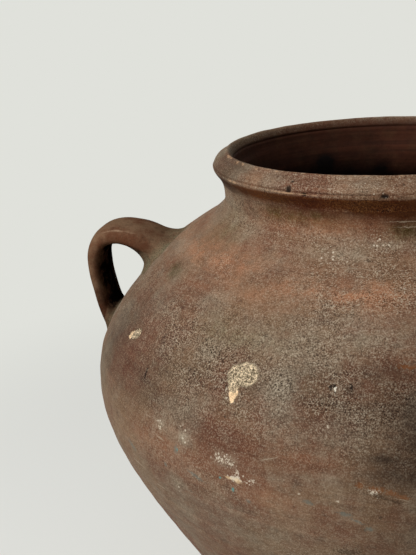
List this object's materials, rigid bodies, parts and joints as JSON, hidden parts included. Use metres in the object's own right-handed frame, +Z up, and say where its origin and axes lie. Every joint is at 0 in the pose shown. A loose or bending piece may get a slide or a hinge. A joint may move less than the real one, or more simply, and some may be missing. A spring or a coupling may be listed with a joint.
{
  "type": "two-handled urn",
  "caption": "Wide-bellied earthenware storage urn with a short waisted neck, a heavy sloped rim, a narrow flat base and strap handles on the shoulder, for dry goods or as a planter.",
  "frame": {"origin": "centre of the flat base, on the surface that the jar stands on", "axes": "+Z up along the jar's axis, +X towards the right handle"},
  "size_m": [0.4512, 0.432, 0.4048],
  "materials": {
    "fired_clay": "coarse unglazed red earthenware, dusty and worn",
    "handle_clay": "earthenware smoothed and darkened by handling",
    "inner_clay": "rough dark earthenware, finger-wiped"
  },
  "bodies": {
    "root": {"base_disc": "fired_clay", "lower_wall": "fired_clay", "middle_wall": "fired_clay", "shoulder_wall": "fired_clay", "neck_collar": "fired_clay", "rim_band": "fired_clay", "left_handle": "handle_clay", "left_upper_lute": "handle_clay", "left_lower_lute": "handle_clay", "right_handle": "handle_clay", "right_upper_lute": "handle_clay", "right_lower_lute": "handle_clay", "base_corner_coil": "inner_clay", "lower_seam_coil": "inner_clay", "upper_seam_coil": "inner_clay"}
  },
  "joints": []
}
